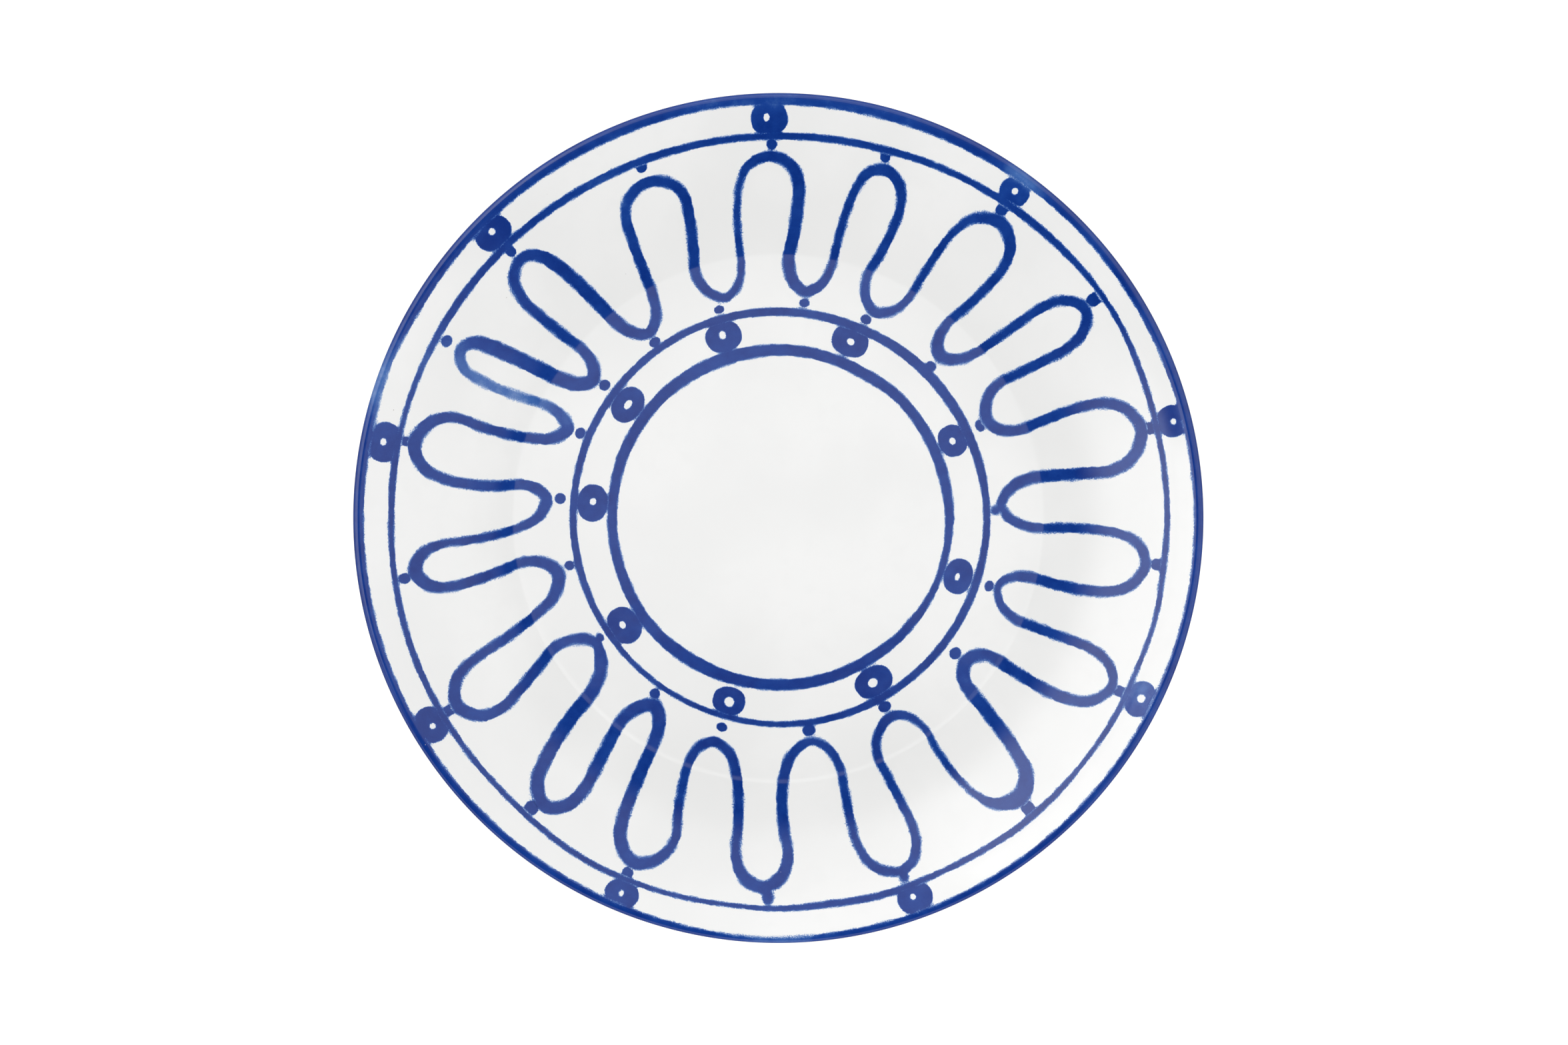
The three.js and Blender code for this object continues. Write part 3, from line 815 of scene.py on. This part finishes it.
def pale_floor():
    """A white floor that glows a little, so that the plate's shadow on it stays faint.

    Its glow would drown the plate's white underside, so that is lit by the studio instead.
    """
    bpy.ops.mesh.primitive_plane_add(size=FLOOR_SIZE, location=(0, 0, cad_low.z))
    floor = bpy.context.object
    floor.name = "floor"
    made, _, shader = new_material("pale_floor", FLOOR_ROUGHNESS, WHITE)
    shader.inputs["Base Color"].default_value = FLOOR_COLOUR
    shader.inputs["Specular IOR Level"].default_value = 0
    shader.inputs["Emission Color"].default_value = WHITE
    shader.inputs["Emission Strength"].default_value = FLOOR_GLOW
    floor.data.materials.append(made)
    floor.visible_diffuse = False
    floor.visible_glossy = False
    floor.visible_shadow = False


# The light that comes from each part of the studio: the azimuth of its middle and half its
# width, the tilts from overhead where it starts and ends, each with the width that it fades
# over, in degrees, and the radiance.
ALL_ROUND = (0, 200, 10)
SOFTBOXES = [
    ((160, 42, 24), (27, 20), (62, 6), 2.1),
    ((45, 80, 40), (25, 18), (74, 8), 1.0),
    ((0, 32, 14), (10, 8), (28, 10), 0.6),
    ((154, 36, 6), (62.0, 1.5), (74, 5), 1.5),
    ((115, 80, 20), (65, 3), (71, 4), 0.9),
    (ALL_ROUND, (72, 8), (91, 6), 1.2),  # the pale horizon
    (ALL_ROUND, (91, 6), (190, 6), 0.4),  # what the plate's underside sees
]
# The card over the camera: the tilt where it ends, the width that it fades over, in degrees,
# the radiance, and where along Y its straight edge starts and is full, as a share of height.
OVERHEAD_CARD = (1.35, 0.2, 1.2)
CARD_EDGE = (-0.013, -0.005)
DARK_STUDIO = 0.05


def softbox(tree, azimuth, tilt, sides, start, end):
    """1 inside the softbox and 0 outside it."""
    middle, half, side_fade = sides
    turned = calc(tree, "WRAP", calc(tree, "SUBTRACT", azimuth, middle), 180, -180)
    away = calc(tree, "ABSOLUTE", turned)
    across = ease(tree, away, half + side_fade / 2, half - side_fade / 2)
    rising = ease(tree, tilt, start[0] - start[1] / 2, start[0] + start[1] / 2)
    falling = ease(tree, tilt, end[0] + end[1] / 2, end[0] - end[1] / 2)
    return times(tree, across, times(tree, rising, falling))


def studio_light():
    world = bpy.data.worlds.new("studio")
    bpy.context.scene.world = world
    world.use_nodes = True
    tree = world.node_tree
    direction = add(tree, "ShaderNodeTexCoord").outputs["Generated"]
    x, y, z = add(tree, "ShaderNodeSeparateXYZ", {0: direction}).outputs
    level = calc(tree, "SQRT", calc(tree, "ADD", times(tree, x, x), times(tree, y, y)))
    tilt = calc(tree, "DEGREES", calc(tree, "ARCTAN2", level, z))
    azimuth = calc(tree, "DEGREES", calc(tree, "ARCTAN2", y, x))
    end, fade, radiance = OVERHEAD_CARD
    card = ease(tree, tilt, end + fade / 2, end - fade / 2)
    card = times(tree, card, ease(tree, calc(tree, "DIVIDE", y, z), *CARD_EDGE))
    total = calc(tree, "ADD", times(tree, card, radiance), DARK_STUDIO)
    for sides, start, end, radiance in SOFTBOXES:
        box = softbox(tree, azimuth, tilt, sides, start, end)
        total = calc(tree, "ADD", times(tree, box, radiance), total)
    tree.links.new(total, tree.nodes["Background"].inputs["Strength"])
    tree.nodes["Background"].inputs["Color"].default_value = WHITE


FILL_AZIMUTH = math.radians(285)
FILL_TILT = math.radians(69)
FILL_DISTANCE = 3
FILL_SIZE = 2
FILL_POWER = 48


def fill_light():
    """A large soft light, low on the -Y side. The glaze shows the softboxes, and not it."""
    light = bpy.data.lights.new("fill", "AREA")
    light.shape = "DISK"
    light.size = FILL_SIZE
    light.energy = FILL_POWER
    lamp = bpy.data.objects.new("fill", light)
    level = FILL_DISTANCE * math.sin(FILL_TILT)
    lamp.location = (
        level * math.cos(FILL_AZIMUTH),
        level * math.sin(FILL_AZIMUTH),
        FILL_DISTANCE * math.cos(FILL_TILT),
    )
    lamp.rotation_euler = (-lamp.location).to_track_quat("-Z", "Y").to_euler()
    lamp.visible_glossy = False
    bpy.context.scene.collection.objects.link(lamp)


CAMERA_HEIGHT = 4  # over the rim
VIEW_WIDTH = 515.8 * MM  # of the frame, in the rim's plane
AIM = (1.87 * MM, -1.49 * MM)  # the plate lies a little off the frame's middle
SENSOR_WIDTH = 36
CLIP_END = 100


def overhead_camera():
    camera = bpy.data.cameras.new("camera")
    camera.sensor_width = SENSOR_WIDTH
    camera.lens = SENSOR_WIDTH * CAMERA_HEIGHT / VIEW_WIDTH
    camera.clip_end = CLIP_END
    eye = bpy.data.objects.new("camera", camera)
    eye.location = (AIM[0], AIM[1], cad_high.z + CAMERA_HEIGHT)
    bpy.context.scene.collection.objects.link(eye)
    bpy.context.scene.camera = eye


pale_floor()
studio_light()
fill_light()
overhead_camera()
bpy.context.scene.view_settings.view_transform = "Standard"
